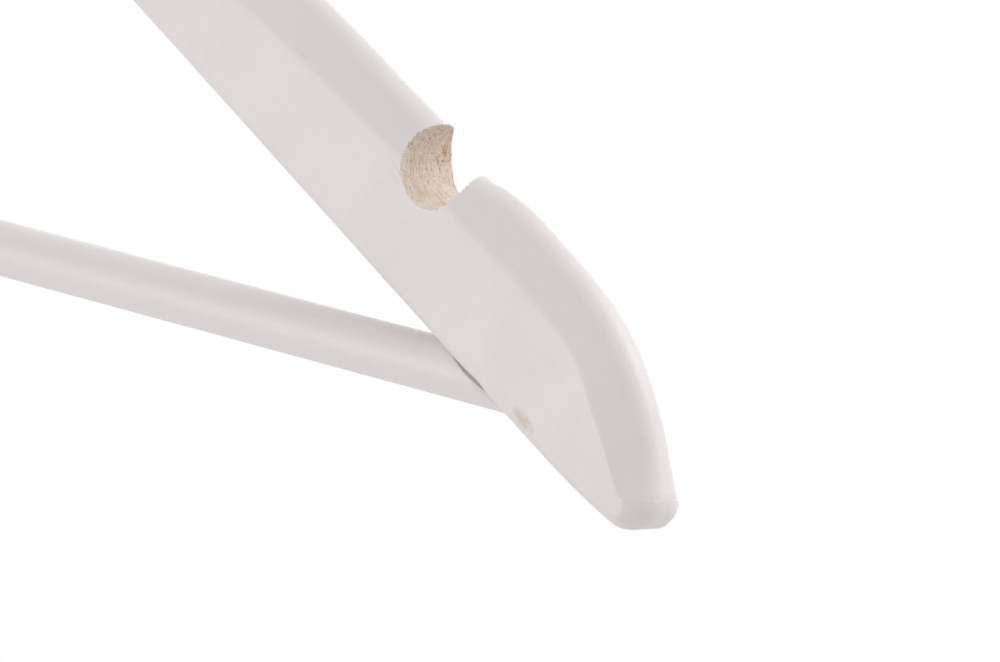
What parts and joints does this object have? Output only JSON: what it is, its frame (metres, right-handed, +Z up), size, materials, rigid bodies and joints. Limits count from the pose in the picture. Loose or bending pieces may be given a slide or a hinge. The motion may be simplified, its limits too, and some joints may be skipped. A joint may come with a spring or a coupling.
{
  "type": "clothes hanger",
  "caption": "White-painted wooden clothes hanger with rounded arms, strap notches, a round trouser bar and a swivelling wire hook.",
  "frame": {"origin": "the hook's seat: the inner top of the hook, where it hangs on a rail", "axes": "+Z up, +X along the span towards the right arm's tip, +Y through the thickness, away from the face with the filled pin holes"},
  "size_m": [0.445, 0.012, 0.2296],
  "materials": {
    "painted_arm": "satin white paint over wood, bare in the notches",
    "painted_bar": "satin white paint over wood",
    "brad_steel": "plain wire",
    "filler": "sanded wood putty",
    "plated_wire": "bright plated",
    "sleeve_steel": "bright plated"
  },
  "bodies": {
    "wood_frame": {"right_arm": "painted_arm", "left_arm": "painted_arm", "trouser_bar": "painted_bar", "right_bar_pin": "brad_steel", "left_bar_pin": "brad_steel", "right_pin_filler": "filler", "left_pin_filler": "filler", "hook_sleeve": "sleeve_steel"},
    "hook": {"hook": "plated_wire", "hook_washer": "plated_wire"}
  },
  "joints": [
    {"name": "hook_swivel", "type": "hinge", "parent": "wood_frame", "child": "hook", "pos_m": [0, 0, -0.105], "axis": [0, 0, 1], "continuous": true}
  ]
}
